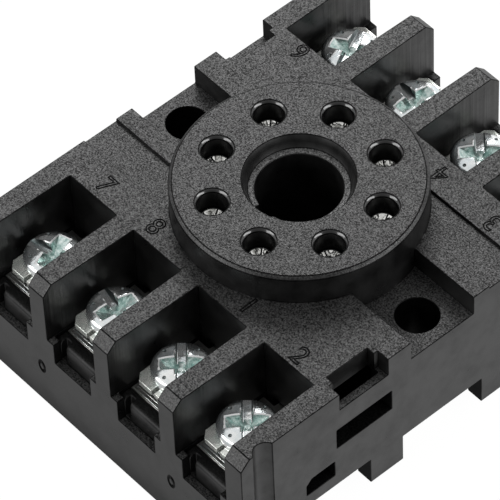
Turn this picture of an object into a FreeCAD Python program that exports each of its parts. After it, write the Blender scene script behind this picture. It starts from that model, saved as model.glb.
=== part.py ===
import FreeCAD, Part
import math
import os

# Eight-pin relay socket for a 35 mm rail or two screws.
# Millimetres. X runs along the terminal rows, Y along the length, Z up from the underside.
# The origin is the middle of the underside. Terminals 7, 8, 1, 2 stand at the -Y end.

os.makedirs("parts", exist_ok=True)

# Housing
body_length = 50.4
body_width = 40.0
plate_top = 18.0
plate_thick = 2.6
end_wall = 0.9
side_wall = 1.9
end_bevel = 1.1
inner_wall = 1.5
corner_groove_radius = 1.25
corner_groove_from_end = 2.7
corner_groove_depth = 0.8

# Round boss that takes the relay pins
boss_radius = 12.5
boss_height = 3.5
boss_round = 0.35
rim_bore_radius = 5.5
rim_bore_foot_radius = 4.95
rim_bore_depth = 1.4
key_bore_radius = 4.27
key_tube_wall = 1.4
keyway_width = 1.9
keyway_reach = 1.0
pin_circle_radius = 8.725
pin_count = 8
pin_first_angle = 22.5
pin_mouth_radius = 1.72
pin_mouth_depth = 0.7
pin_sleeve_wall = 1.0
pin_sleeve_sides = 8

# Mounting holes and their pockets
mount_spacing = 33.0
mount_hole_radius = 2.15
mount_pocket_depth = 2.4
mount_pocket_half = 4.0
mount_post_radius = 3.4
band_depth = 0.3
band_start = 6.05
band_end = 10.1

# Terminal chambers
terminal_pitch = 9.37
terminals_per_end = 4
chamber_root_width = 6.85
chamber_mouth_width = 7.15
chamber_length = 11.22
sill_height = 10.6
window_width = 5.3
window_low = 7.85

# Clip notch with its bar, and the side windows
notch_near = 6.9
notch_far = 13.0
notch_step = 0.5
notch_depth_in = 2.35
notch_wide_in = 1.45
clip_bar_thick = 0.9
clip_bar_top = 15.7
clip_window_near = 6.5
clip_window_far = 13.45
clip_window_low = 10.25
clip_window_high = 12.95
snap_window_near = 13.8
snap_window_far = 17.35
snap_window_low = 6.4
snap_window_high = 8.5
snap_window_cut = 0.7

# Rail channel, legs and feet
rail_width = 35.0
rail_play = 0.4
channel_height = 4.75
foot_near = 5.1
foot_far = 9.3
foot_bottom = 1.25

# Base cover
cover_play = 0.1
cover_top = 6.4
seat_below_sill = 0.25
seat_front_round = 0.5
seat_gap_width = 0.75
seat_gap_depth = 0.8
hook_reach = 1.3
hook_top = 3.5
hook_root = 1.2
tip_pocket_half = 2.15
tip_pocket_bottom = 5.3

# Contacts
strip_thick = 0.9
plate_set_back = 1.4
plate_root_gap = 0.42
plate_width = 6.6
neck_width = 3.6
neck_play = 0.3
arm_width = 3.0
tube_radius = 1.38
tube_bore_radius = 1.2
tube_play = 0.05
tube_top_below_boss = 2.4

# Terminal screws and clamp washers
screw_from_end = 5.9
thread_radius = 1.7
thread_play = 0.05
shank_length = 5.2
head_radius = 3.0
head_rim = 0.5
head_flat_radius = 1.6
head_height = 1.5
slot_width = 1.0
slot_depth = 0.75
screw_turns = {1: 139.0, 2: 139.0, 3: 30.0, 4: 139.0, 5: 176.0, 6: 115.0, 7: 17.0, 8: 171.0}
washer_width = 5.3
washer_front_reach = 3.65
washer_back_reach = 2.85
washer_corner = 0.7
washer_thick = 0.7
washer_play = 0.08
washer_slit = 0.4
wire_gap = 1.65

# Rail latch and its spring
latch_width = 8.0
latch_low = 1.2
latch_high = 3.3
latch_play = 0.1
latch_nose = 1.3
latch_nose_face = 0.5
slot_half = 1.3
slot_inner_web = 0.9
lug_from_end = 3.2
lug_thick = 0.8
lug_half = 1.1
pull_slot_half = 1.6
pull_slot_depth = 0.9
spring_radius = 0.8
spring_wire = 0.15
spring_turns = 3.5
spring_steps = 9
spring_sides = 5

overrun = 1.0

half_length = body_length / 2
half_width = body_width / 2
boss_top = plate_top + boss_height
leg_inner = rail_width / 2 + rail_play / 2
seat_top = sill_height - seat_below_sill
strip_top = seat_top
strip_low = strip_top - strip_thick
inner_length = half_length - end_wall
inner_width = half_width - side_wall
chamber_root = half_length - chamber_length
screw_y = half_length - screw_from_end
plate_front = inner_length - plate_set_back
plate_back = chamber_root + plate_root_gap
slot_inner_y = leg_inner + slot_inner_web
lug_y = half_length - lug_from_end
cover_length = inner_length
cover_width = inner_width - cover_play
ceiling = plate_top - plate_thick
washer_low = strip_top + wire_gap
washer_top = washer_low + washer_thick
tube_hole_radius = tube_radius + tube_play
terminal_xs = [terminal_pitch * (i - (terminals_per_end - 1) / 2) for i in range(terminals_per_end)]
# terminal number: (place in its row from -X, end of the body)
terminal_places = {7: (0, -1), 8: (1, -1), 1: (2, -1), 2: (3, -1),
                   6: (0, 1), 5: (1, 1), 4: (2, 1), 3: (3, 1)}
# the pin that each terminal serves, counted round the pin circle from the first angle
pin_places = {3: 0, 4: 1, 5: 2, 6: 3, 7: 4, 8: 5, 1: 6, 2: 7}


def vec(x, y, z):
    return FreeCAD.Vector(x, y, z)


def closed(points):
    return Part.Face(Part.makePolygon(points + [points[0]]))


def plan(points, low, high):
    """Solid from a plan outline between two heights."""
    return closed([vec(x, y, low) for x, y in points]).extrude(vec(0, 0, high - low))


def block(x0, x1, y0, y1, low, high):
    return plan([(x0, y0), (x1, y0), (x1, y1), (x0, y1)], low, high)


def along_x(points, x0, x1):
    """Solid from a side profile of (y, z) points swept from x0 to x1."""
    return closed([vec(x0, y, z) for y, z in points]).extrude(vec(x1 - x0, 0, 0))


def turned(points, x=0.0, y=0.0):
    """Solid of revolution from (radius, z) points about the vertical through x, y."""
    face = closed([vec(r, 0, z) for r, z in points])
    solid = face.revolve(vec(0, 0, 0), vec(0, 0, 1), 360)
    solid.translate(vec(x, y, 0))
    return solid


def post(radius, low, high, x=0.0, y=0.0):
    return Part.makeCylinder(radius, high - low, vec(x, y, low))


def flat_sided_post(flat_radius, sides, low, high, x, y):
    """Upright column with flat sides, each one flat_radius from its middle."""
    corner = flat_radius / math.cos(math.pi / sides)
    angles = [(2 * i + 1) * math.pi / sides for i in range(sides)]
    return plan([(x + corner * math.cos(a), y + corner * math.sin(a)) for a in angles], low, high)


def half_turn(shape):
    other = shape.copy()
    other.rotate(vec(0, 0, 0), vec(0, 0, 1), 180)
    return other


def both_ends(shape):
    """The shape and its copy turned half round, as the socket repeats itself."""
    return [shape, half_turn(shape)]


def pin_point(index):
    angle = math.radians(pin_first_angle + index * 360.0 / pin_count)
    return pin_circle_radius * math.cos(angle), pin_circle_radius * math.sin(angle)


def one_solid(shape):
    shape = shape.removeSplitter()
    return shape.Solids[0] if len(shape.Solids) == 1 else shape


def outer_block():
    bevel_foot = plate_top - end_bevel
    profile = [(-half_length, 0), (-half_length, bevel_foot), (-half_length + end_bevel, plate_top),
               (half_length - end_bevel, plate_top), (half_length, bevel_foot), (half_length, 0),
               (leg_inner, 0), (leg_inner, channel_height),
               (-leg_inner, channel_height), (-leg_inner, 0)]
    return along_x(profile, -half_width, half_width)


def pin_boss():
    foot = plate_top - mount_pocket_depth
    corner = boss_top - boss_round
    lower = closed([vec(0, 0, foot), vec(boss_radius, 0, foot), vec(boss_radius, 0, corner),
                    vec(boss_radius - boss_round, 0, boss_top), vec(0, 0, boss_top)])
    return lower.revolve(vec(0, 0, 0), vec(0, 0, 1), 360)


def chamber(x):
    """Terminal chamber at the -Y end: opens upward and through the end, wider at its mouth."""
    root = chamber_root_width / 2
    mouth = chamber_mouth_width / 2
    end = -half_length - overrun
    mouth_here = root + (mouth - root) * (-chamber_root - end) / (half_length - chamber_root)
    upper = plan([(x - root, -chamber_root), (x + root, -chamber_root), (x + mouth_here, end),
                  (x - mouth_here, end)], sill_height, plate_top + overrun)
    seat = block(x - root, x + root, -inner_length, -chamber_root, cover_top - overrun, sill_height)
    sill = block(x - window_width / 2, x + window_width / 2, -half_length - overrun, -inner_length,
                 window_low, sill_height)
    neck = neck_width / 2 + neck_play
    door = block(x - neck, x + neck, -chamber_root - overrun, -chamber_root + inner_wall + overrun,
                 cover_top - overrun, strip_top + neck_play)
    return upper.fuse([seat, sill, door])


def under_void():
    """Everything the housing is hollowed by from below, before its posts are put back."""
    skirt = block(-inner_width, inner_width, -inner_length, inner_length, -overrun, cover_top)
    back = chamber_root - inner_wall
    middle = block(-inner_width, inner_width, -back, back, cover_top - overrun, ceiling)
    return skirt.fuse(middle)


def housing_posts():
    posts = [post(key_bore_radius + key_tube_wall, cover_top, ceiling + overrun)]
    for index in range(pin_count):
        x, y = pin_point(index)
        low = strip_top + neck_play
        posts.append(flat_sided_post(tube_hole_radius + pin_sleeve_wall, pin_sleeve_sides,
                                     low, ceiling + overrun, x, y))
    for side in (-1, 1):
        x = side * mount_spacing / 2
        tie = inner_width + overrun / 2
        posts.append(post(mount_post_radius, cover_top, ceiling + overrun, x, 0))
        posts.append(block(min(x, side * tie), max(x, side * tie), -mount_post_radius / 2,
                           mount_post_radius / 2, cover_top, ceiling + overrun))
    return posts


def key_bore():
    ledge = boss_top - rim_bore_depth
    profile = [(0, -overrun), (key_bore_radius, -overrun), (key_bore_radius, ledge),
               (rim_bore_foot_radius, ledge), (rim_bore_radius, boss_top),
               (rim_bore_radius, boss_top + overrun), (0, boss_top + overrun)]
    bore = turned(profile)
    reach = key_bore_radius + keyway_reach
    way = block(-keyway_width / 2, keyway_width / 2, -reach, 0, cover_top, boss_top + overrun)
    return bore.fuse(way)


def pin_bore(index):
    x, y = pin_point(index)
    mouth_foot = boss_top - pin_mouth_depth
    slope = (pin_mouth_radius - tube_hole_radius) / pin_mouth_depth
    above = pin_mouth_radius + slope * overrun
    profile = [(0, cover_top), (tube_hole_radius, cover_top), (tube_hole_radius, mouth_foot),
               (pin_mouth_radius, boss_top), (above, boss_top + overrun), (0, boss_top + overrun)]
    return turned(profile, x, y)


def mount_pocket(side):
    far = side * (half_width + overrun)
    floor = plate_top - mount_pocket_depth
    pocket = block(min(0, far), max(0, far), -mount_pocket_half, mount_pocket_half,
                   floor, plate_top + overrun)
    return pocket.cut(post(boss_radius, 0, plate_top + 2 * overrun))


def text_band():
    """Shallow bare band beside a pocket, on the -X side."""
    band = block(-half_width - overrun, 0, -band_end, -band_start, plate_top - band_depth,
                 plate_top + overrun)
    return band.cut(post(boss_radius, 0, plate_top + 2 * overrun))


def clip_notch():
    """Notch for a holding clip at the +X side, with the window below its bar."""
    outer_x = half_width + overrun
    wide_x = half_width - notch_wide_in
    deep_x = half_width - notch_depth_in
    bar_x = half_width - clip_bar_thick
    deep = block(deep_x, bar_x, -notch_far + notch_step, -notch_near - notch_step,
                 clip_window_low, plate_top + overrun)
    wide = block(wide_x, outer_x, -notch_far, -notch_near, clip_bar_top, plate_top + overrun)
    window = block(deep_x, outer_x, -clip_window_far, -clip_window_near,
                   clip_window_low, clip_window_high)
    return deep.fuse([wide, window])


def snap_window():
    """Side window for a catch of the base cover, with one cut corner."""
    inner_x = inner_width - overrun
    near, far = -snap_window_near, -snap_window_far
    profile = [(near, snap_window_low), (near, snap_window_high),
               (far + snap_window_cut, snap_window_high), (far, snap_window_high - snap_window_cut),
               (far, snap_window_low)]
    return along_x(profile, inner_x, half_width + overrun)


def corner_grooves():
    grooves = []
    offset = half_width + corner_groove_radius - corner_groove_depth
    for side in (-1, 1):
        for end in (-1, 1):
            grooves.append(post(corner_groove_radius, -overrun, plate_top + overrun,
                                side * offset, end * (half_length - corner_groove_from_end)))
    return grooves


def feet():
    solids = []
    for side in (-1, 1):
        for end in (-1, 1):
            x0, x1 = sorted((side * inner_width, side * half_width))
            y0, y1 = sorted((end * foot_near, end * foot_far))
            solids.append(block(x0, x1, y0, y1, foot_bottom, channel_height + overrun))
    return solids


def latch_door(play):
    """Way through the +Y leg and end wall for the rail latch."""
    half = latch_width / 2 + play
    return block(-half, half, leg_inner - overrun, half_length + overrun,
                 latch_low - play, latch_high + play)


def make_housing():
    shape = outer_block().cut(under_void())
    shape = shape.fuse(housing_posts() + feet() + [pin_boss()])
    cuts = [key_bore(), latch_door(latch_play)]
    for x in terminal_xs:
        cuts += both_ends(chamber(x))
    for index in range(pin_count):
        cuts.append(pin_bore(index))
    for side in (-1, 1):
        cuts.append(mount_pocket(side))
        cuts.append(post(mount_hole_radius, -overrun, boss_top, side * mount_spacing / 2, 0))
    for cutter in (text_band(), clip_notch(), snap_window()):
        cuts += both_ends(cutter)
    shape = shape.cut(cuts + corner_grooves())
    return one_solid(shape)


def cover_plate():
    """Base plate, both legs and the fixed hook in one side profile."""
    lip = leg_inner - hook_reach
    profile = [(-cover_length, 0), (-cover_length, cover_top), (cover_length, cover_top),
               (cover_length, 0), (leg_inner, 0), (leg_inner, channel_height),
               (-leg_inner, channel_height), (-leg_inner, hook_top), (-lip, hook_top),
               (-lip, hook_root + hook_reach / 2), (-leg_inner, hook_root), (-leg_inner, 0)]
    return along_x(profile, -cover_width, cover_width)


def terminal_seat(x):
    """Block under one terminal plate at the -Y end, with a rim before the plate's front edge."""
    half = chamber_root_width / 2 - cover_play
    front = -inner_length
    rim = -plate_front - cover_play
    back = -chamber_root - cover_play
    low = cover_top - overrun
    profile = [(front, low), (front, seat_top), (rim, seat_top), (rim, strip_low),
               (back, strip_low), (back, low)]
    solid = along_x(profile, x - half, x + half)
    edges = [e for e in solid.Edges if abs(e.CenterOfMass.y - front) < 1e-6
             and abs(e.CenterOfMass.z - seat_top) < 1e-6]
    solid = solid.makeFillet(seat_front_round, edges)
    left = x - window_width / 2
    gap = block(left, left + seat_gap_width, front - overrun, front + seat_gap_depth,
                window_low, seat_top + overrun)
    return solid.cut(gap)


def tip_pocket(x):
    """Square pocket in a seat at the -Y end that clears the tip of the screw."""
    return block(x - tip_pocket_half, x + tip_pocket_half, -screw_y - tip_pocket_half,
                 -screw_y + tip_pocket_half, tip_pocket_bottom, seat_top + overrun)


def make_cover():
    seats = []
    pockets = []
    for x in terminal_xs:
        seats += both_ends(terminal_seat(x))
        pockets += both_ends(tip_pocket(x))
    shape = cover_plate().fuse(seats)
    channel = latch_door(latch_play)
    lug = block(-lug_half, lug_half, lug_y, lug_y + lug_thick, latch_low, latch_high + overrun)
    shape = shape.cut(pockets + [channel]).fuse(lug)
    holes = [post(mount_hole_radius, -overrun, boss_top, side * mount_spacing / 2, 0)
             for side in (-1, 1)]
    return one_solid(shape.cut(holes))


def contact_front(pin_index, x):
    """Contact for a terminal at the -Y end: terminal plate, neck, arm and pin tube."""
    pin_x, pin_y = pin_point(pin_index)
    half = plate_width / 2
    neck = neck_width / 2
    neck_end = -chamber_root + inner_wall + neck_play
    terminal = plan([(x - half, -plate_front), (x + half, -plate_front), (x + half, -plate_back),
                     (x + neck, -plate_back), (x + neck, neck_end), (x - neck, neck_end),
                     (x - neck, -plate_back), (x - half, -plate_back)], strip_low, strip_top)
    run_x, run_y = pin_x - x, pin_y - neck_end
    length = math.hypot(run_x, run_y)
    side_x, side_y = -run_y / length * arm_width / 2, run_x / length * arm_width / 2
    arm = plan([(x + side_x, neck_end + side_y), (pin_x + side_x, pin_y + side_y),
                (pin_x - side_x, pin_y - side_y), (x - side_x, neck_end - side_y)],
               strip_low, strip_top)
    elbow = flat_sided_post(arm_width / 2, pin_sleeve_sides, strip_low, strip_top, x, neck_end)
    eye = flat_sided_post(arm_width / 2, pin_sleeve_sides, strip_low, strip_top, pin_x, pin_y)
    tube = post(tube_radius, strip_low, boss_top - tube_top_below_boss, pin_x, pin_y)
    bore = post(tube_bore_radius, strip_low - overrun, boss_top, pin_x, pin_y)
    hole = post(thread_radius + thread_play, strip_low - overrun, strip_top + overrun, x, -screw_y)
    return one_solid(terminal.fuse([arm, elbow, eye, tube]).cut([bore, hole]))


def make_contact(number):
    place, end = terminal_places[number]
    x = terminal_xs[place]
    pin = pin_places[number]
    if end < 0:
        return contact_front(pin, x)
    return half_turn(contact_front((pin + pin_count // 2) % pin_count, -x))


def washer_front():
    """Clamp washer about its screw axis, its corners cut, slit from the -Y edge to the hole."""
    half = washer_width / 2
    slit = washer_slit / 2
    flank = half - washer_corner
    front = -washer_front_reach
    back = washer_back_reach
    outline = plan([(-flank, front), (-slit, front), (-slit, 0), (slit, 0), (slit, front),
                    (flank, front), (half, front + washer_corner), (half, back - washer_corner),
                    (flank, back), (-flank, back), (-half, back - washer_corner),
                    (-half, front + washer_corner)], washer_low, washer_top)
    hole = post(thread_radius + washer_play, washer_low - overrun, washer_top + overrun)
    return one_solid(outline.cut(hole))


def make_screw(turn):
    """Domed screw on the axis through the origin, its slot turned from +X by the given angle."""
    head_top = washer_top + head_height
    tip = washer_top - shank_length
    profile = [(0, tip), (thread_radius, tip), (thread_radius, washer_top),
               (head_radius, washer_top), (head_radius, washer_top + head_rim),
               (head_flat_radius, head_top), (0, head_top)]
    slot = block(-head_radius - overrun, head_radius + overrun, -slot_width / 2, slot_width / 2,
                 head_top - slot_depth, head_top + overrun)
    solid = turned(profile).cut(slot)
    solid.rotate(vec(0, 0, 0), vec(0, 0, 1), turn)
    return one_solid(solid)


def placed(shape, number):
    """A terminal piece made about its own axis, set at its terminal."""
    place, end = terminal_places[number]
    solid = shape if end < 0 else half_turn(shape)
    solid = solid.copy()
    solid.translate(vec(terminal_xs[place], end * screw_y, 0))
    return solid


def make_latch():
    half = latch_width / 2
    nose_y = leg_inner - latch_nose
    bar = block(-half, half, nose_y, half_length, latch_low, latch_high)
    face_low = latch_high - latch_nose_face
    under = along_x([(nose_y - overrun, face_low), (nose_y, face_low), (leg_inner, latch_low),
                     (leg_inner, latch_low - overrun), (nose_y - overrun, latch_low - overrun)],
                    -half - overrun, half + overrun)
    slot = block(-slot_half, slot_half, slot_inner_y, lug_y + lug_thick,
                 latch_low - overrun, latch_high + overrun)
    pull = block(-pull_slot_half, pull_slot_half, half_length - pull_slot_depth,
                 half_length + overrun, latch_low - overrun, latch_high - latch_nose_face)
    return one_solid(bar.cut([under, slot, pull]))


def make_spring():
    """Compression spring between the latch and the lug of the base cover, in short straight runs."""
    start = slot_inner_y + spring_wire
    length = lug_y - spring_wire - start
    count = int(spring_turns * spring_steps)
    points = []
    for i in range(count + 1):
        angle = 2 * math.pi * i / spring_steps
        points.append(vec(spring_radius * math.cos(angle), spring_radius * math.sin(angle),
                          length * i / count))
    rim = Part.makeCircle(spring_wire, points[0], (points[1] - points[0]).normalize())
    section = Part.makePolygon(rim.discretize(spring_sides + 1))
    coil = Part.makePolygon(points).makePipeShell([section], True, False, 1)
    coil.rotate(vec(0, 0, 0), vec(1, 0, 0), -90)
    coil.translate(vec(0, start, (latch_low + latch_high) / 2))
    return one_solid(coil)


nodes = {
    "housing": make_housing(),
    "base_cover": make_cover(),
    "rail_latch": make_latch(),
    "latch_spring": make_spring(),
}
for number in sorted(terminal_places):
    end = terminal_places[number][1]
    turn = screw_turns[number] if end < 0 else screw_turns[number] - 180
    nodes["contact_%d" % number] = make_contact(number)
    nodes["washer_%d" % number] = placed(washer_front(), number)
    nodes["screw_%d" % number] = placed(make_screw(turn), number)

for name, shape in nodes.items():
    shape.exportStep("parts/%s.step" % name)
    box = shape.BoundBox
    print("%-14s solids %d valid %s volume %.2f  x %.2f..%.2f y %.2f..%.2f z %.2f..%.2f" % (
        name, len(shape.Solids), shape.isValid(), shape.Volume,
        box.XMin, box.XMax, box.YMin, box.YMax, box.ZMin, box.ZMax))
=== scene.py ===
import math
import bpy
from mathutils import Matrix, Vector


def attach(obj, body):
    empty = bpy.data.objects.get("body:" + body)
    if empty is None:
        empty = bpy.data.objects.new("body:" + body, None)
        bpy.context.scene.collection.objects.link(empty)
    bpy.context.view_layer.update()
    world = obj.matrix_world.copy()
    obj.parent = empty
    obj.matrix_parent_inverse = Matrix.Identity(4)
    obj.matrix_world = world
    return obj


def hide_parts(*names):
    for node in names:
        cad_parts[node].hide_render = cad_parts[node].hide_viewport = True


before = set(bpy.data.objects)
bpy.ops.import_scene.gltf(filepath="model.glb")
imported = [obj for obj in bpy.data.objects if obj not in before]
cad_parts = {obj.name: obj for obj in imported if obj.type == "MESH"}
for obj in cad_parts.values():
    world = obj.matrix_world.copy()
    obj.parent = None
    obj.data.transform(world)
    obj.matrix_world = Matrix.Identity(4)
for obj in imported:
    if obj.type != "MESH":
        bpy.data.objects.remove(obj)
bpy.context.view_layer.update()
print("frame in", len(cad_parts), "nodes")

mm = 0.001


# small helpers

def dropSelection():
    if bpy.context.object and bpy.context.object.mode != "OBJECT":
        bpy.ops.object.mode_set(mode="OBJECT")
    bpy.ops.object.select_all(action="DESELECT")


def pick(piece):
    dropSelection()
    piece.select_set(True)
    bpy.context.view_layer.objects.active = piece


def useModifier(piece, kind, **settings):
    pick(piece)
    modifier = piece.modifiers.new(kind.lower(), kind)
    for name, value in settings.items():
        setattr(modifier, name, value)
    bpy.ops.object.modifier_apply(modifier=modifier.name)


def settle(piece):
    pick(piece)
    bpy.ops.object.transform_apply(location=True, rotation=True, scale=True)


def copyOfNode(node, name):
    # a copy of a CAD node with its loose triangles merged into clean faces
    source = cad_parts[node]
    piece = bpy.data.objects.new(name, source.data.copy())
    bpy.context.scene.collection.objects.link(piece)
    piece.data.materials.clear()
    pick(piece)
    bpy.ops.object.mode_set(mode="EDIT")
    bpy.ops.mesh.select_all(action="SELECT")
    bpy.ops.mesh.remove_doubles(threshold=0.002 * mm)
    bpy.ops.mesh.dissolve_limited(angle_limit=math.radians(0.8))
    bpy.ops.object.mode_set(mode="OBJECT")
    return piece


def twinOf(piece, name, shift=(0, 0, 0), turn=0.0):
    # a copy with its own mesh, turned about the upright axis and then moved
    twin = bpy.data.objects.new(name, piece.data.copy())
    bpy.context.scene.collection.objects.link(twin)
    twin.rotation_euler = (0, 0, math.radians(turn))
    twin.location = shift
    settle(twin)
    return twin


def joinAll(pieces, name):
    dropSelection()
    for piece in pieces:
        piece.select_set(True)
    bpy.context.view_layer.objects.active = pieces[0]
    if len(pieces) > 1:
        bpy.ops.object.join()
    joined = bpy.context.view_layer.objects.active
    joined.name = name
    return joined


def roundEdges(piece, width, steps=2, degrees=30, slot=-1, clamp=True):
    # the rounds take the material of the given slot, or that of their faces
    useModifier(piece, "BEVEL", width=width, segments=steps, limit_method="ANGLE",
                angle_limit=math.radians(degrees), use_clamp_overlap=clamp,
                miter_outer="MITER_ARC", harden_normals=False, material=slot)


def shadeSoft(piece, degrees=35):
    pick(piece)
    bpy.ops.object.shade_smooth_by_angle(angle=math.radians(degrees))
    useModifier(piece, "WEIGHTED_NORMAL", mode="FACE_AREA", weight=50, keep_sharp=True)


def rideAs(piece, body, slot, *nodes):
    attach(piece, body)
    if nodes:
        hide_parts(*nodes)


def finishPiece(piece, material, body, slot, *nodes):
    piece.data.materials.clear()
    piece.data.materials.append(material)
    rideAs(piece, body, slot, *nodes)


def blockAt(low, high, name):
    # a block between two corners given in mm
    size = [(b - a) * mm for a, b in zip(low, high)]
    middle = [(a + b) / 2 * mm for a, b in zip(low, high)]
    dropSelection()
    bpy.ops.mesh.primitive_cube_add(size=1.0, location=middle)
    block = bpy.context.object
    block.scale = size
    block.name = name
    settle(block)
    return block


def cutBy(piece, cutter, material=None):
    # the faces that a cut leaves take the cutter's material
    if material:
        cutter.data.materials.append(material)
    useModifier(piece, "BOOLEAN", operation="DIFFERENCE", solver="EXACT", object=cutter,
                material_mode="TRANSFER")
    bpy.data.objects.remove(cutter, do_unlink=True)


# materials

def startMaterial(name):
    material = bpy.data.materials.new(name)
    material.use_nodes = True
    tree = material.node_tree
    shader = tree.nodes["Principled BSDF"]
    return material, tree, shader


def noiseOn(tree, coordinates, scale, detail, roughness, stretch=None):
    if stretch:
        mapping = tree.nodes.new("ShaderNodeMapping")
        mapping.inputs["Scale"].default_value = stretch
        tree.links.new(coordinates, mapping.inputs["Vector"])
        coordinates = mapping.outputs["Vector"]
    noise = tree.nodes.new("ShaderNodeTexNoise")
    noise.inputs["Scale"].default_value = scale
    noise.inputs["Detail"].default_value = detail
    noise.inputs["Roughness"].default_value = roughness
    tree.links.new(coordinates, noise.inputs["Vector"])
    return noise.outputs["Fac"]


def rangeOn(tree, value, low, high, toLow, toHigh):
    span = tree.nodes.new("ShaderNodeMapRange")
    span.inputs["From Min"].default_value = low
    span.inputs["From Max"].default_value = high
    span.inputs["To Min"].default_value = toLow
    span.inputs["To Max"].default_value = toHigh
    tree.links.new(value, span.inputs["Value"])
    return span.outputs["Result"]


def mathOn(tree, operation, first, second=None):
    step = tree.nodes.new("ShaderNodeMath")
    step.operation = operation
    tree.links.new(first, step.inputs[0])
    if second:
        tree.links.new(second, step.inputs[1])
    return step.outputs[0]


def blendOn(tree, share, first, second):
    mix = tree.nodes.new("ShaderNodeMix")
    tree.links.new(share, mix.inputs[0])
    tree.links.new(first, mix.inputs[2])
    tree.links.new(second, mix.inputs[3])
    return mix.outputs[0]


def rampOn(tree, value, stops):
    ramp = tree.nodes.new("ShaderNodeValToRGB")
    elements = ramp.color_ramp.elements
    elements[0].position, elements[0].color = stops[0][0], stops[0][1]
    elements[1].position, elements[1].color = stops[-1][0], stops[-1][1]
    for place, colour in stops[1:-1]:
        elements.new(place).color = colour
    tree.links.new(value, ramp.inputs["Fac"])
    return ramp.outputs["Color"]


def bumpOn(tree, height, depth, strength, before=None):
    bump = tree.nodes.new("ShaderNodeBump")
    bump.inputs["Distance"].default_value = depth
    if isinstance(strength, float):
        bump.inputs["Strength"].default_value = strength
    else:
        tree.links.new(strength, bump.inputs["Strength"])
    tree.links.new(height, bump.inputs["Height"])
    if before:
        tree.links.new(before, bump.inputs["Normal"])
    return bump.outputs["Normal"]


def grey(level):
    return (level, level, level, 1.0)


plasticLook = {
    "darkest": 0.004, "lightest": 0.035, "roughness": 0.44, "wallRoughness": 0.32,
    "dullSpecular": 0.1, "brightSpecular": 1.0, "grainSpan": (0.38, 0.7),
    "wallTone": (0.004, 0.009), "wallDull": 0.36, "wallBright": 0.58,
    "grainScale": 6200.0, "mottleScale": 420.0, "topGrain": 0.55, "sideGrain": 0.05,
    "grainDepth": 0.08 * mm, "streakDepth": 0.14 * mm, "streakStrength": 0.5,
    "streaksFrom": 17.5 * mm, "streaksFull": 20.5 * mm, "streaksWithin": 19.2 * mm,
    "streaksFade": 0.5 * mm,
}


def mouldedPlastic(name, look):
    # black moulding: eroded grain on the faces that look up, smoother streaked walls
    material, tree, shader = startMaterial(name)
    place = tree.nodes.new("ShaderNodeTexCoord").outputs["Object"]
    grain = noiseOn(tree, place, look["grainScale"], 3.0, 0.65)
    mottle = noiseOn(tree, place, look["mottleScale"], 5.0, 0.6)
    streaks = noiseOn(tree, place, 1.0, 2.0, 0.5, stretch=(900.0, 1500.0, 40.0))
    normal = tree.nodes.new("ShaderNodeNewGeometry").outputs["Normal"]
    split = tree.nodes.new("ShaderNodeSeparateXYZ")
    tree.links.new(normal, split.inputs["Vector"])
    facing = rangeOn(tree, split.outputs["Z"], 0.5, 0.95, look["sideGrain"], look["topGrain"])
    whereabouts = tree.nodes.new("ShaderNodeSeparateXYZ")
    tree.links.new(place, whereabouts.inputs["Vector"])
    outward = mathOn(tree, "ABSOLUTE", whereabouts.outputs["Y"])
    nearEnds = rangeOn(tree, outward, look["streaksFrom"], look["streaksFull"],
                       0.0, look["streakStrength"])
    sideways = mathOn(tree, "ABSOLUTE", split.outputs["X"])
    across = mathOn(tree, "ABSOLUTE", whereabouts.outputs["X"])
    inside = rangeOn(tree, across, look["streaksWithin"] - look["streaksFade"],
                     look["streaksWithin"], 1.0, 0.0)
    upright = mathOn(tree, "MULTIPLY", mathOn(tree, "MULTIPLY", nearEnds, sideways), inside)
    first = bumpOn(tree, streaks, look["streakDepth"], upright)
    last = bumpOn(tree, grain, look["grainDepth"], facing, first)
    tree.links.new(last, shader.inputs["Normal"])
    upward = rangeOn(tree, split.outputs["Z"], 0.5, 0.9, 0.0, 1.0)
    low, high = look["grainSpan"]
    topTone = rangeOn(tree, grain, low, high, look["darkest"], look["lightest"])
    wallTone = rangeOn(tree, mottle, 0.35, 0.65, look["wallTone"][0], look["wallTone"][1])
    tree.links.new(blendOn(tree, upward, wallTone, topTone), shader.inputs["Base Color"])
    base = rangeOn(tree, split.outputs["Z"], 0.3, 0.9, look["wallRoughness"], look["roughness"])
    uneven = rangeOn(tree, mottle, 0.3, 0.7, -0.05, 0.06)
    rough = mathOn(tree, "ADD", base, uneven)
    tree.links.new(rough, shader.inputs["Roughness"])
    topGleam = rangeOn(tree, grain, low, high, look["dullSpecular"], look["brightSpecular"])
    wallGleam = rangeOn(tree, mottle, 0.35, 0.65, look["wallDull"], look["wallBright"])
    worn = rangeOn(tree, mottle, 0.35, 0.65, 0.8, 1.2)
    gleam = blendOn(tree, upward, wallGleam, mathOn(tree, "MULTIPLY", topGleam, worn))
    tree.links.new(gleam, shader.inputs["Specular IOR Level"])
    return material


zincLook = {
    "bright": (0.94, 0.95, 0.94, 1.0), "tint": (0.76, 0.82, 0.84, 1.0), "roughness": 0.14,
    "metallic": 0.93,
    "patchScale": 900.0, "scratchScale": 1500.0, "scratchDepth": 0.07 * mm,
}


def platedMetal(name, look):
    # bright plating with a faint blue-green passivation and fine handling marks
    material, tree, shader = startMaterial(name)
    place = tree.nodes.new("ShaderNodeTexCoord").outputs["Object"]
    patches = noiseOn(tree, place, look["patchScale"], 4.0, 0.6)
    marks = noiseOn(tree, place, look["scratchScale"], 2.0, 0.5)
    colour = rampOn(tree, patches, [(0.38, look["bright"]), (0.64, look["tint"])])
    tree.links.new(colour, shader.inputs["Base Color"])
    shader.inputs["Metallic"].default_value = look["metallic"]
    rough = rangeOn(tree, patches, 0.3, 0.7, look["roughness"] - 0.04, look["roughness"] + 0.09)
    tree.links.new(rough, shader.inputs["Roughness"])
    worn = bumpOn(tree, marks, look["scratchDepth"], 0.4)
    tree.links.new(worn, shader.inputs["Normal"])
    return material


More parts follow.
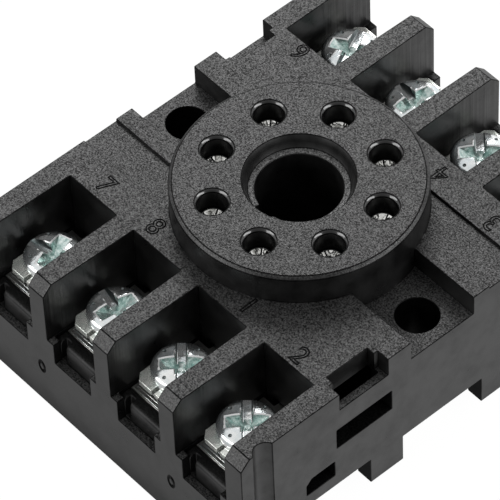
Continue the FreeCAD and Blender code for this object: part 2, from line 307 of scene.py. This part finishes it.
recessLook = dict(zincLook, metallic=0.8, bright=(0.86, 0.96, 0.93, 1.0),
                  tint=(0.30, 0.46, 0.43, 1.0), roughness=0.26, patchScale=2600.0,
                  scratchDepth=0.08 * mm)
stripLook = dict(zincLook, metallic=1.0, bright=(0.52, 0.52, 0.50, 1.0),
                 tint=(0.34, 0.34, 0.33, 1.0), roughness=0.3)
leafLook = dict(zincLook, metallic=1.0, bright=(1.0, 1.0, 0.97, 1.0),
                tint=(0.25, 0.25, 0.23, 1.0), roughness=0.2, patchScale=1300.0,
                scratchScale=1300.0, scratchDepth=1.2 * mm)
washerLook = dict(zincLook, metallic=0.75, bright=(0.88, 0.88, 0.84, 1.0),
                  tint=(0.68, 0.73, 0.68, 1.0), roughness=0.2)

blackMoulding = mouldedPlastic("blackMoulding", plasticLook)
coverMoulding = mouldedPlastic("coverMoulding", dict(plasticLook, roughness=0.5, darkest=0.003,
                                                     lightest=0.006, brightSpecular=0.3))
latchMoulding = mouldedPlastic("latchMoulding", dict(plasticLook, roughness=0.36, topGrain=0.3))
# near-black with little gloss: painted shade for the engraved numbers and the sunk marks
paintedShadeLook = dict(plasticLook, darkest=0.001, lightest=0.003, wallTone=(0.001, 0.002),
                   dullSpecular=0.03, brightSpecular=0.12, wallDull=0.05, wallBright=0.12)
paintedGrooveShade = mouldedPlastic("paintedGrooveShade", paintedShadeLook)
# a near-black copy of the moulding: painted shade for the rounded edges, the mounting hole walls
# and the window sills
paintedShadeMoulding = mouldedPlastic("paintedShadeMoulding", dict(paintedShadeLook, brightSpecular=0.2, wallBright=0.2))
lipMoulding = mouldedPlastic("lipMoulding", dict(plasticLook, darkest=0.001, lightest=0.002,
                                                 sideGrain=0.0, topGrain=0.0,
                                                 roughness=0.14, wallRoughness=0.14,
                                                 dullSpecular=0.8, brightSpecular=0.9,
                                                 wallDull=0.8, wallBright=0.9))
# a much lighter copy of the moulding with coarse grain: painted sheen on the ledge round the key
# bore
paintedSheenLedge = mouldedPlastic("paintedSheenLedge", dict(plasticLook, darkest=0.02, lightest=0.2,
                                                     grainSpan=(0.36, 0.7), topGrain=1.2,
                                                     sideGrain=0.6, roughness=0.36,
                                                     wallRoughness=0.4))
# white plating: a painted highlight on the rim of the cross recess and on the head's rounded edges
paintedHighlightZinc = platedMetal("paintedHighlightZinc", dict(zincLook, metallic=0.5, bright=(1.0, 1.0, 1.0, 1.0),
                                        tint=(0.95, 0.96, 0.96, 1.0), roughness=0.3))
# dark plating: painted shade on the slot walls and in the four dents
paintedShadeZinc = platedMetal("paintedShadeZinc", dict(zincLook, bright=(0.2, 0.22, 0.22, 1.0),
                                          tint=(0.08, 0.1, 0.1, 1.0), roughness=0.3))
zincPlate = platedMetal("zincPlate", zincLook)
zincRecess = platedMetal("zincRecess", recessLook)
washerPlate = platedMetal("washerPlate", washerLook)
nickelStrip = platedMetal("nickelStrip", stripLook)
# near-black copy of the strip plating: painted shade on the part of each strip behind the screws
paintedShadeStrip = platedMetal("paintedShadeStrip", dict(stripLook, bright=(0.06, 0.06, 0.06, 1.0),
                                            tint=(0.03, 0.03, 0.03, 1.0)))
leafPlate = platedMetal("leafPlate", leafLook)
# a much brighter copy of the strip plating: painted highlights on the ribs
paintedHighlightRibs = platedMetal("paintedHighlightRibs", dict(zincLook, bright=(0.96, 0.96, 0.93, 1.0), roughness=0.24))
springWire = platedMetal("springWire", dict(zincLook, tint=(0.7, 0.7, 0.7, 1.0)))
print("materials made")


# mouldings

edgeRounds = {"housing": 0.08 * mm, "cover": 0.1 * mm, "latch": 0.12 * mm,
              "washer": 0.06 * mm, "contact": 0.05 * mm}
pinCircle = {"radius": 8.725, "first": 22.5, "count": 8, "mouth": 1.72, "throat": 1.43,
             "top": 21.5, "lipDepth": 0.7, "lipShare": 0.45, "tubeTop": 15}
keyLedge = {"bore": 4.27, "foot": 4.95, "height": 20.1, "round": 0.3}
mountHoles = {"at": 16.5, "radius": 2.15}
sideWindows = {"beyond": 15.0, "below": 12.5, "above": 2.5}
endMarks = {"across": 9.5, "face": 25.2, "high": 5.5, "ring": 0.42, "wire": 0.17, "tall": 1.6}
# the edge slot holds painted shade, for the rounded edges, the mounting holes and the window sills
shellSlots = {"edge": 1, "lip": 2, "ledge": 3}
# how far off in mm a point may lie and still count as on a face, a bore or a ring
slack = {"point": 0.01, "level": 0.02, "bore": 0.03, "ring": 0.1, "shortEdge": 1.2}


def pinPoints(look):
    angles = [math.radians(look["first"] + step * 360 / look["count"])
              for step in range(look["count"])]
    return [(look["radius"] * math.cos(a), look["radius"] * math.sin(a)) for a in angles]


def reachFrom(place, centre):
    # how far a point lies from an upright axis, both in mm
    return math.hypot(place.x / mm - centre[0], place.y / mm - centre[1])


def selectEdges(piece, test):
    # only short edges, so that none that crosses a face goes with a ring
    pick(piece)
    mesh = piece.data
    for face in mesh.polygons:
        face.select = False
    for vertex in mesh.vertices:
        vertex.select = False
    for edge in mesh.edges:
        ends = [mesh.vertices[i].co for i in edge.vertices]
        short = (ends[0] - ends[1]).length < slack["shortEdge"] * mm
        edge.select = short and all(test(end) for end in ends)
    bpy.ops.object.mode_set(mode="EDIT")
    bpy.ops.mesh.select_mode(type="EDGE")


def glossMouths(piece, look, slot):
    # the lips of the pin holes are glossy and open at about half a right angle
    centres = pinPoints(look)
    foot = look["top"] - look["lipDepth"]

    def onLip(place):
        below = foot - slack["point"] < place.z / mm < look["top"] - slack["point"]
        return below and any(reachFrom(place, c) < look["mouth"] + slack["point"] for c in centres)

    selectEdges(piece, onLip)
    bpy.ops.transform.resize(value=(1, 1, look["lipShare"]),
                             center_override=(0, 0, look["top"] * mm))
    bpy.ops.object.mode_set(mode="OBJECT")
    for face in piece.data.polygons:
        low = min(piece.data.vertices[i].co.z for i in face.vertices) / mm
        high = max(piece.data.vertices[i].co.z for i in face.vertices) / mm
        near = min(reachFrom(face.center, c) for c in centres) < look["mouth"] + slack["point"]
        if near and low > look["tubeTop"] and high < look["top"] + slack["point"]:
            face.material_index = slot


def roundLedge(piece, look, slot):
    # the ledge round the key bore has a coarse grain, painted light as a sheen, and a rounded inner
    # edge
    def onBore(place):
        level = abs(place.z / mm - look["height"]) < slack["point"]
        return level and reachFrom(place, (0, 0)) < look["bore"] + slack["bore"]

    selectEdges(piece, onBore)
    bpy.ops.mesh.bevel(offset=look["round"] * mm, segments=4, material=slot)
    bpy.ops.object.mode_set(mode="OBJECT")
    for face in piece.data.polygons:
        level = all(abs(piece.data.vertices[i].co.z / mm - look["height"]) < slack["level"]
                    for i in face.vertices)
        if level and reachFrom(face.center, (0, 0)) < look["foot"] + slack["ring"]:
            face.material_index = slot


def paintShadeInHoles(piece, look, slot):
    # the walls of the two mounting holes, painted near-black as shade
    for face in piece.data.polygons:
        for side in (-1, 1):
            reach = max(reachFrom(piece.data.vertices[i].co, (side * look["at"], 0))
                        for i in face.vertices)
            if reach < look["radius"] + slack["bore"]:
                face.material_index = slot


def paintShadeInWindows(piece, look, slot):
    # the sills inside the side windows, painted near-black as shade
    for face in piece.data.polygons:
        places = [piece.data.vertices[i].co / mm for i in face.vertices]
        aside = all(abs(place.x) > look["beyond"] for place in places)
        level = all(look["above"] < place.z < look["below"] for place in places)
        if aside and level and face.normal.z > 0.9:
            face.material_index = slot


def cutMark(piece, look, side, end):
    # a small oval ring sunk in an end face under the wall between two terminals, its walls painted
    # near-black as shade
    dropSelection()
    bpy.ops.mesh.primitive_torus_add(major_segments=20, minor_segments=6, location=(0, 0, 0),
                                     rotation=(math.radians(90), 0, 0),
                                     major_radius=look["ring"] * mm,
                                     minor_radius=look["wire"] * mm)
    ring = bpy.context.object
    settle(ring)
    ring.scale = (1, 1, look["tall"])
    ring.location = (side * look["across"] * mm, end * look["face"] * mm, look["high"] * mm)
    settle(ring)
    cutBy(piece, ring, paintedGrooveShade)


housingShell = copyOfNode("housing", "housingShell")
for material in (blackMoulding, paintedShadeMoulding, lipMoulding, paintedSheenLedge):
    housingShell.data.materials.append(material)
glossMouths(housingShell, pinCircle, shellSlots["lip"])
roundLedge(housingShell, keyLedge, shellSlots["ledge"])
paintShadeInHoles(housingShell, mountHoles, shellSlots["edge"])
paintShadeInWindows(housingShell, sideWindows, shellSlots["edge"])
# the rounds along the housing's edges take the near-black slot, a painted shade line along each
# edge
roundEdges(housingShell, edgeRounds["housing"], slot=shellSlots["edge"], clamp=False)
for side in (-1, 1):
    for end in (-1, 1):
        cutMark(housingShell, endMarks, side, end)
shadeSoft(housingShell)
rideAs(housingShell, "socket", "housing_plastic", "housing")

baseCover = copyOfNode("base_cover", "baseCover")
roundEdges(baseCover, edgeRounds["cover"])
shadeSoft(baseCover)
finishPiece(baseCover, coverMoulding, "socket", "cover_plastic", "base_cover")

railCatch = copyOfNode("rail_latch", "railCatch")
roundEdges(railCatch, edgeRounds["latch"])
shadeSoft(railCatch)
finishPiece(railCatch, latchMoulding, "latch", "latch_plastic", "rail_latch")
print("mouldings made")


# terminal numbers, outlined in thin raised strokes on the top plate, painted near-black as the
# shade of engraved outlines

numerals = {
    "height": 2.9, "stroke": 0.085, "top": 18.0, "flat": 0.6,
    "at": {"1": (6.3, -12.2, 0), "2": (14.05, -12.65, 0), "7": (-14.2, -12.3, 0),
           "8": (-7.0, -12.25, 0), "3": (14.5, 11.7, 180), "4": (6.7, 12.2, 180),
           "5": (-6.8, 12.2, 180), "6": (-14.3, 13.0, 180)},
}


def makeNumeral(text, look):
    x, y, turn = look["at"][text]
    dropSelection()
    bpy.ops.object.text_add(location=(0, 0, 0))
    numeral = bpy.context.object
    numeral.data.body = text
    numeral.data.size = look["height"] * mm
    numeral.data.align_x = "CENTER"
    numeral.data.align_y = "CENTER"
    numeral.data.fill_mode = "NONE"
    numeral.data.bevel_depth = look["stroke"] * mm
    numeral.data.bevel_resolution = 1
    numeral.data.resolution_u = 5
    pick(numeral)
    bpy.ops.object.convert(target="MESH")
    numeral = bpy.context.object
    numeral.rotation_euler = (0, 0, math.radians(turn))
    numeral.scale = (1, 1, look["flat"])
    numeral.location = (x * mm, y * mm, look["top"] * mm)
    settle(numeral)
    return numeral


plateNumerals = joinAll([makeNumeral(text, numerals) for text in numerals["at"]], "plateNumerals")
shadeSoft(plateNumerals, 60)
finishPiece(plateNumerals, paintedGrooveShade, "socket", "housing_plastic")
print("numerals made")


# terminal screws: slotted pan head with a cross recess, threaded shank

screwLook = {
    "underHead": 12.7, "sides": 72, "radius": 3.0,
    "dome": [(0.34, 3.0), (0.64, 2.96), (0.88, 2.86), (1.04, 2.7), (1.15, 2.48), (1.23, 2.2),
             (1.3, 1.86), (1.37, 1.44), (1.42, 0.98), (1.45, 0.45)],
    "slot": {"low": 0.62, "high": 1.7, "mouth": (4.0, 0.64), "foot": (4.0, 0.4), "turn": 0},
    "wings": {"wingAlong": {"low": 0.2, "high": 1.6, "mouth": (1.55, 0.7), "foot": (0.32, 0.2),
                            "turn": 0},
              "wingAcross": {"low": 0.2, "high": 1.6, "mouth": (2.75, 0.82), "foot": (0.32, 0.2),
                             "turn": 90}},
    "dentAt": 2.3, "dentHigh": 1.25, "dentSize": 0.2, "dentTurns": (45, 135, 225, 315),
    "rim": 0.1, "rimAbove": 0.75, "merge": 0.03, "sortFrom": (27.1, 11.3, 4.9), "edge": 0.13 * mm,
    "core": 1.36, "coreOver": 0.03, "crest": 1.68, "pitch": 0.6, "turns": 7, "tip": 7.5,
    "turned": {1: 139, 2: 139, 3: 30, 4: 139, 5: 176, 6: 115, 7: 17, 8: 171},
}


def makeHead(look):
    # a dome drawn up ring by ring, then the slot, the cross recess and four dents cut in it; the
    # slot walls and the dents are painted dark as shade
    base = look["underHead"] * mm
    dropSelection()
    bpy.ops.mesh.primitive_circle_add(vertices=look["sides"], radius=look["radius"] * mm,
                                      fill_type="NGON", location=(0, 0, base))
    head = bpy.context.object
    head.name = "screwHead"
    settle(head)
    bpy.ops.object.mode_set(mode="EDIT")
    bpy.ops.mesh.select_all(action="SELECT")
    height, radius = 0.0, look["radius"]
    for nextHeight, nextRadius in look["dome"]:
        bpy.ops.mesh.extrude_region_move(
            TRANSFORM_OT_translate={"value": (0, 0, (nextHeight - height) * mm)})
        ratio = nextRadius / radius
        bpy.ops.transform.resize(value=(ratio, ratio, 1), center_override=(0, 0, base))
        height, radius = nextHeight, nextRadius
    bpy.ops.mesh.select_all(action="SELECT")
    bpy.ops.mesh.normals_make_consistent(inside=False)
    bpy.ops.object.mode_set(mode="OBJECT")
    head.data.materials.append(zincPlate)
    slot = makeWedge(look, "slotCutter", look["slot"])
    slot.data.materials.append(zincPlate)
    slot.data.materials.append(paintedShadeZinc)
    for face in slot.data.polygons:
        face.material_index = 1 if abs(face.normal.y) > 0.5 else 0
    cutBy(head, slot)
    for name, wing in look["wings"].items():
        cutBy(head, makeWedge(look, name, wing), zincRecess)
    for turn in look["dentTurns"]:
        cutBy(head, makeDent(look, turn), paintedShadeZinc)
    return head


def paintRecessHighlight(head, look):
    # a narrow bevel round the mouth of the cross recess, painted white as a highlight; the cuts
    # leave their points in no fixed order, so these are sorted by their reach from an odd place
    # before they merge
    pick(head)
    bpy.context.scene.cursor.location = Vector(look["sortFrom"]) * mm
    bpy.ops.object.mode_set(mode="EDIT")
    bpy.ops.mesh.select_all(action="SELECT")
    bpy.ops.mesh.sort_elements(type="CURSOR_DISTANCE", elements={"VERT", "EDGE", "FACE"})
    bpy.ops.mesh.remove_doubles(threshold=look["merge"] * mm)
    bpy.ops.object.mode_set(mode="OBJECT")
    head.data.materials.append(paintedHighlightZinc)
    mesh = head.data
    sides = {}
    for face in mesh.polygons:
        for key in face.edge_keys:
            sides.setdefault(key, set()).add(face.material_index)
    recess = [metal.name for metal in mesh.materials].index("zincRecess")
    for face in mesh.polygons:
        face.select = False
    for vertex in mesh.vertices:
        vertex.select = False
    for edge in mesh.edges:
        low = min(mesh.vertices[i].co.z for i in edge.vertices)
        edge.select = (sides.get(edge.key) == {0, recess}
                       and low > (look["underHead"] + look["rimAbove"]) * mm)
    bpy.ops.object.mode_set(mode="EDIT")
    bpy.ops.mesh.select_mode(type="EDGE")
    bpy.ops.mesh.bevel(offset=look["rim"] * mm, segments=1, clamp_overlap=False,
                       material=len(mesh.materials) - 1)
    bpy.ops.object.mode_set(mode="OBJECT")


def makeWedge(look, name, shape):
    # the slot or one arm pair of the cross recess, narrower at its foot than at its mouth
    low = look["underHead"] + shape["low"]
    high = look["underHead"] + shape["high"]
    reach, half = shape["mouth"]
    wedge = blockAt((-reach, -half, low), (reach, half, high), name)
    pick(wedge)
    for vertex in wedge.data.vertices:
        vertex.select = vertex.co.z < (low + high) / 2 * mm
    for edge in wedge.data.edges:
        edge.select = all(wedge.data.vertices[i].select for i in edge.vertices)
    for face in wedge.data.polygons:
        face.select = all(wedge.data.vertices[i].select for i in face.vertices)
    bpy.ops.object.mode_set(mode="EDIT")
    bpy.ops.transform.resize(value=(shape["foot"][0] / reach, shape["foot"][1] / half, 1),
                             center_override=(0, 0, low * mm))
    bpy.ops.object.mode_set(mode="OBJECT")
    wedge.rotation_euler = (0, 0, math.radians(shape["turn"]))
    settle(wedge)
    return wedge


def makeDent(look, turn):
    angle = math.radians(turn)
    place = (look["dentAt"] * math.cos(angle) * mm, look["dentAt"] * math.sin(angle) * mm,
             (look["underHead"] + look["dentHigh"]) * mm)
    dropSelection()
    bpy.ops.mesh.primitive_uv_sphere_add(segments=12, ring_count=8, radius=look["dentSize"] * mm,
                                         location=place)
    dent = bpy.context.object
    settle(dent)
    return dent


def makeShank(look):
    low = look["tip"] * mm
    high = look["underHead"] * mm
    dropSelection()
    # a little over the thread's root, so that the ridge is bedded in it
    bpy.ops.mesh.primitive_cylinder_add(vertices=32, radius=(look["core"] + look["coreOver"]) * mm,
                                        depth=high - low, location=(0, 0, (low + high) / 2))
    core = bpy.context.object
    settle(core)
    thread = bpy.data.meshes.new("threadLine")
    pitch = look["pitch"]
    line = [(look["core"], 0.0), (look["crest"], 0.42 * pitch), (look["crest"], 0.54 * pitch),
            (look["core"], 0.96 * pitch)]
    thread.from_pydata([(r * mm, 0, z * mm + low) for r, z in line], [(0, 1), (1, 2), (2, 3)], [])
    ridge = bpy.data.objects.new("threadRidge", thread)
    bpy.context.scene.collection.objects.link(ridge)
    useModifier(ridge, "SCREW", axis="Z", angle=math.radians(360), screw_offset=pitch * mm,
                iterations=look["turns"], steps=24, render_steps=24, use_merge_vertices=True)
    pick(ridge)
    bpy.ops.object.mode_set(mode="EDIT")
    bpy.ops.mesh.select_all(action="SELECT")
    bpy.ops.mesh.remove_doubles(threshold=0.001 * mm)
    bpy.ops.mesh.normals_make_consistent(inside=False)
    bpy.ops.object.mode_set(mode="OBJECT")
    return [core, ridge]


screwHead = makeHead(screwLook)
paintRecessHighlight(screwHead, screwLook)
# the head's rounded edges also take the white plating, a painted highlight
roundEdges(screwHead, screwLook["edge"], 2, 25, len(screwHead.data.materials) - 1)
shadeSoft(screwHead, 32)
shankParts = makeShank(screwLook)
for part in shankParts:
    part.data.materials.append(zincPlate)
    shadeSoft(part, 40)
screwModel = joinAll([screwHead] + shankParts, "screwModel")
terminalPlaces = {7: (-14.055, -19.3), 8: (-4.685, -19.3), 1: (4.685, -19.3), 2: (14.055, -19.3),
                  6: (-14.055, 19.3), 5: (-4.685, 19.3), 4: (4.685, 19.3), 3: (14.055, 19.3)}
for number, (x, y) in terminalPlaces.items():
    screw = twinOf(screwModel, "terminalScrew%d" % number, (x * mm, y * mm, 0),
                   screwLook["turned"][number])
    rideAs(screw, "screw_%d_body" % number, "screw_plate", "screw_%d" % number)
bpy.data.objects.remove(screwModel, do_unlink=True)
print("screws made")


# clamp washers and contact strips, the strips ribbed under the wire

ribs = {"count": 7, "from": 22.66, "pitch": 0.38, "high": 0.04, "sunk": 0.05, "wide": 0.18,
        "round": 0.03, "half": 3.05, "top": 10.35, "paintedShadeFrom": 18.2}
leaves = {"mouth": 1.19, "throat": 0.68, "top": 19.04, "drop": 0.26, "thick": 0.07,
          "gap": 0.16, "gapReach": 3, "gapLow": 17, "gapHigh": 20, "turnStep": 37}


def makeLeaves(look):
    # the spring leaves in the mouth of a contact tube, bent inwards, with four gaps
    dropSelection()
    bpy.ops.mesh.primitive_cone_add(vertices=40, radius1=look["throat"] * mm,
                                    radius2=look["mouth"] * mm, depth=look["drop"] * mm,
                                    end_fill_type="NOTHING",
                                    location=(0, 0, (look["top"] - look["drop"] / 2) * mm))
    ring = bpy.context.object
    ring.name = "leafRing"
    settle(ring)
    ring.data.materials.append(leafPlate)
    useModifier(ring, "SOLIDIFY", thickness=look["thick"] * mm, offset=0)
    for turn in (0, 90):
        gap = blockAt((-look["gapReach"], -look["gap"] / 2, look["gapLow"]),
                      (look["gapReach"], look["gap"] / 2, look["gapHigh"]), "leafGap")
        gap.rotation_euler = (0, 0, math.radians(turn))
        settle(gap)
        cutBy(ring, gap, leafPlate)
    return ring


def makeRibs(look):
    # one rib, copied along the plate from its front edge
    first = blockAt((-look["half"], -look["from"] - look["wide"] / 2, look["top"] - look["sunk"]),
                    (look["half"], -look["from"] + look["wide"] / 2, look["top"] + look["high"]),
                    "stripRib")
    roundEdges(first, look["round"] * mm, 2)
    rest = [twinOf(first, "stripRib%d" % step, (0, step * look["pitch"] * mm, 0))
            for step in range(1, look["count"])]
    return joinAll([first] + rest, "stripRibs")


ribModel = makeRibs(ribs)
leafModel = makeLeaves(leaves)
pinOf = {3: 0, 4: 1, 5: 2, 6: 3, 7: 4, 8: 5, 1: 6, 2: 7}
for number, (x, y) in terminalPlaces.items():
    washer = copyOfNode("washer_%d" % number, "clampWasher%d" % number)
    roundEdges(washer, edgeRounds["washer"])
    shadeSoft(washer)
    finishPiece(washer, washerPlate, "clamp_%d" % number, "washer_plate", "washer_%d" % number)
    strip = copyOfNode("contact_%d" % number, "contactStrip%d" % number)
    roundEdges(strip, edgeRounds["contact"])
    ribSet = twinOf(ribModel, "ribSet%d" % number, (x * mm, 0, 0), 0 if y < 0 else 180)
    pinX, pinY = pinPoints(pinCircle)[pinOf[number]]
    leafSet = twinOf(leafModel, "leafSet%d" % number, (pinX * mm, pinY * mm, 0),
                     leaves["turnStep"] * number)
    for metal in (nickelStrip, paintedShadeStrip):
        strip.data.materials.append(metal)
    # the strip behind the screw axis is painted near-black as shade
    for face in strip.data.polygons:
        if max(abs(strip.data.vertices[i].co.y) for i in face.vertices) < ribs["paintedShadeFrom"] * mm:
            face.material_index = 1
    ribSet.data.materials.append(paintedHighlightRibs)
    strip = joinAll([strip, ribSet, leafSet], "contactStrip%d" % number)
    shadeSoft(strip)
    rideAs(strip, "socket", "contact_strip", "contact_%d" % number)
bpy.data.objects.remove(ribModel, do_unlink=True)
bpy.data.objects.remove(leafModel, do_unlink=True)
print("metal made")

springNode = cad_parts["latch_spring"]
springNode.data.materials.clear()
springNode.data.materials.append(springWire)


# floor, light and camera

studio = {
    "floorSize": 3.0, "floorWhite": 0.86, "floorShare": 0.93, "cameraWhite": 1.05,
    # the floor's glow for glossy rays is lowered under the socket and before its front, a painted
    # shadow and painted shade
    "glossOpen": 0.85, "paintedShadeFront": 0.5, "paintedShadowUnder": 0.08,
    "besideFrom": 0.019, "besideFull": 0.021, "endFrom": 0.024, "endFull": 0.027,
    "skyLevel": 0.4, "sky": [(0.0, 1.0), (0.3, 1.0), (0.6, 0.92), (0.85, 0.8), (1.0, 0.7)],
    "dimSide": (0.76, -0.65, 0.0), "dimFrom": 0.2, "dimFull": 0.85, "dimLevel": 0.34,
}


def makeFloor(look):
    dropSelection()
    bpy.ops.mesh.primitive_plane_add(size=look["floorSize"], location=(0, 0, 0))
    floor = bpy.context.object
    floor.name = "studioFloor"
    settle(floor)
    material, tree, shader = startMaterial("studioFloorWhite")
    shader.inputs["Base Color"].default_value = grey(look["floorWhite"])
    shader.inputs["Roughness"].default_value = 0.9
    shader.inputs["Specular IOR Level"].default_value = 0.0
    glow = tree.nodes.new("ShaderNodeEmission")
    glow.inputs["Color"].default_value = grey(1.0)
    path = tree.nodes.new("ShaderNodeLightPath")
    mix = tree.nodes.new("ShaderNodeMixShader")
    # glossy rays see it dim under the socket and less bright before the front row: a painted shadow
    # of the socket and painted shade on the floor, seen in reflections
    place = tree.nodes.new("ShaderNodeTexCoord").outputs["Object"]
    split = tree.nodes.new("ShaderNodeSeparateXYZ")
    tree.links.new(place, split.inputs["Vector"])
    front = rangeOn(tree, split.outputs["Y"], -look["endFull"], -look["endFrom"],
                    look["paintedShadeFront"], look["paintedShadowUnder"])
    back = rangeOn(tree, split.outputs["Y"], look["endFrom"], look["endFull"],
                   0.0, look["glossOpen"])
    beside = rangeOn(tree, split.outputs["X"], look["besideFrom"], look["besideFull"],
                     0.0, look["glossOpen"])
    level = mathOn(tree, "MAXIMUM", mathOn(tree, "MAXIMUM", front, back), beside)
    mirrored = mathOn(tree, "MULTIPLY", level, path.outputs["Is Glossy Ray"])
    straight = rangeOn(tree, path.outputs["Is Camera Ray"], 0.0, 1.0, 0.0, look["cameraWhite"])
    tree.links.new(mathOn(tree, "MAXIMUM", straight, mirrored), glow.inputs["Strength"])
    shown = rangeOn(tree, path.outputs["Is Camera Ray"], 0.0, 1.0, 0.0, look["floorShare"])
    share = mathOn(tree, "MAXIMUM", shown, path.outputs["Is Glossy Ray"])
    tree.links.new(share, mix.inputs["Fac"])
    tree.links.new(shader.outputs["BSDF"], mix.inputs[1])
    tree.links.new(glow.outputs["Emission"], mix.inputs[2])
    tree.links.new(mix.outputs["Shader"], tree.nodes["Material Output"].inputs["Surface"])
    floor.data.materials.append(material)


def makeWorld(look):
    # plain light for the piece; the camera, metal and glass see white low down, greyer above
    world = bpy.data.worlds.new("studioWorld")
    bpy.context.scene.world = world
    world.use_nodes = True
    tree = world.node_tree
    tree.nodes.clear()
    path = tree.nodes.new("ShaderNodeLightPath")
    lit = tree.nodes.new("ShaderNodeBackground")
    lit.inputs["Color"].default_value = grey(1.0)
    lit.inputs["Strength"].default_value = look["skyLevel"]
    place = tree.nodes.new("ShaderNodeTexCoord").outputs["Generated"]
    split = tree.nodes.new("ShaderNodeSeparateXYZ")
    tree.links.new(place, split.inputs["Vector"])
    shades = rampOn(tree, split.outputs["Z"], [(at, grey(level)) for at, level in look["sky"]])
    # the side that the camera stands on is dim, as in a tent with an open front
    toward = tree.nodes.new("ShaderNodeVectorMath")
    toward.operation = "DOT_PRODUCT"
    toward.inputs[1].default_value = look["dimSide"]
    tree.links.new(place, toward.inputs[0])
    dim = rangeOn(tree, toward.outputs["Value"], look["dimFrom"], look["dimFull"],
                  look["cameraWhite"], look["dimLevel"])
    seen = tree.nodes.new("ShaderNodeBackground")
    tree.links.new(shades, seen.inputs["Color"])
    tree.links.new(dim, seen.inputs["Strength"])
    straight = mathOn(tree, "MAXIMUM", path.outputs["Is Camera Ray"], path.outputs["Is Glossy Ray"])
    direct = mathOn(tree, "MAXIMUM", straight, path.outputs["Is Transmission Ray"])
    mix = tree.nodes.new("ShaderNodeMixShader")
    tree.links.new(direct, mix.inputs["Fac"])
    tree.links.new(lit.outputs["Background"], mix.inputs[1])
    tree.links.new(seen.outputs["Background"], mix.inputs[2])
    end = tree.nodes.new("ShaderNodeOutputWorld")
    tree.links.new(mix.outputs["Shader"], end.inputs["Surface"])


softboxes = {
    "backBox": {"at": (-0.346, 0.28, 0.32), "size": (0.23, 0.23), "power": 1.25},
    "leftFront": {"at": (-0.21, -0.47, 0.28), "size": (0.46, 0.2), "power": 1.35},
    "rightBack": {"at": (0.42, 0.26, 0.27), "size": (0.46, 0.16), "power": 1.35},
}


def makeSoftbox(name, look):
    lamp = bpy.data.lights.new(name, "AREA")
    lamp.shape = "RECTANGLE"
    lamp.size, lamp.size_y = look["size"]
    lamp.energy = look["power"]
    box = bpy.data.objects.new(name, lamp)
    bpy.context.scene.collection.objects.link(box)
    box.location = look["at"]
    aim = Vector((0, 0, 0.01)) - Vector(look["at"])
    box.rotation_euler = aim.to_track_quat("-Z", "Y").to_euler()


# where the photograph was taken from, found from the standard pin circle and hole spacing
photoCamera = {
    "at": (0.2266046, -0.1927766, 0.3673192), "turn": (39.83042, 1.73041, 48.49502),
    "lens": 345.798, "sensor": 36.0,
}


def makeCamera(look):
    data = bpy.data.cameras.new("photoCamera")
    data.lens = look["lens"]
    data.sensor_width = look["sensor"]
    data.clip_start = 0.01
    data.clip_end = 10.0
    camera = bpy.data.objects.new("photoCamera", data)
    bpy.context.scene.collection.objects.link(camera)
    camera.location = look["at"]
    camera.rotation_euler = [math.radians(a) for a in look["turn"]]
    bpy.context.scene.camera = camera


makeFloor(studio)
makeWorld(studio)
for name, look in softboxes.items():
    makeSoftbox(name, look)
makeCamera(photoCamera)
bpy.context.scene.view_settings.view_transform = "Standard"
print("studio made")
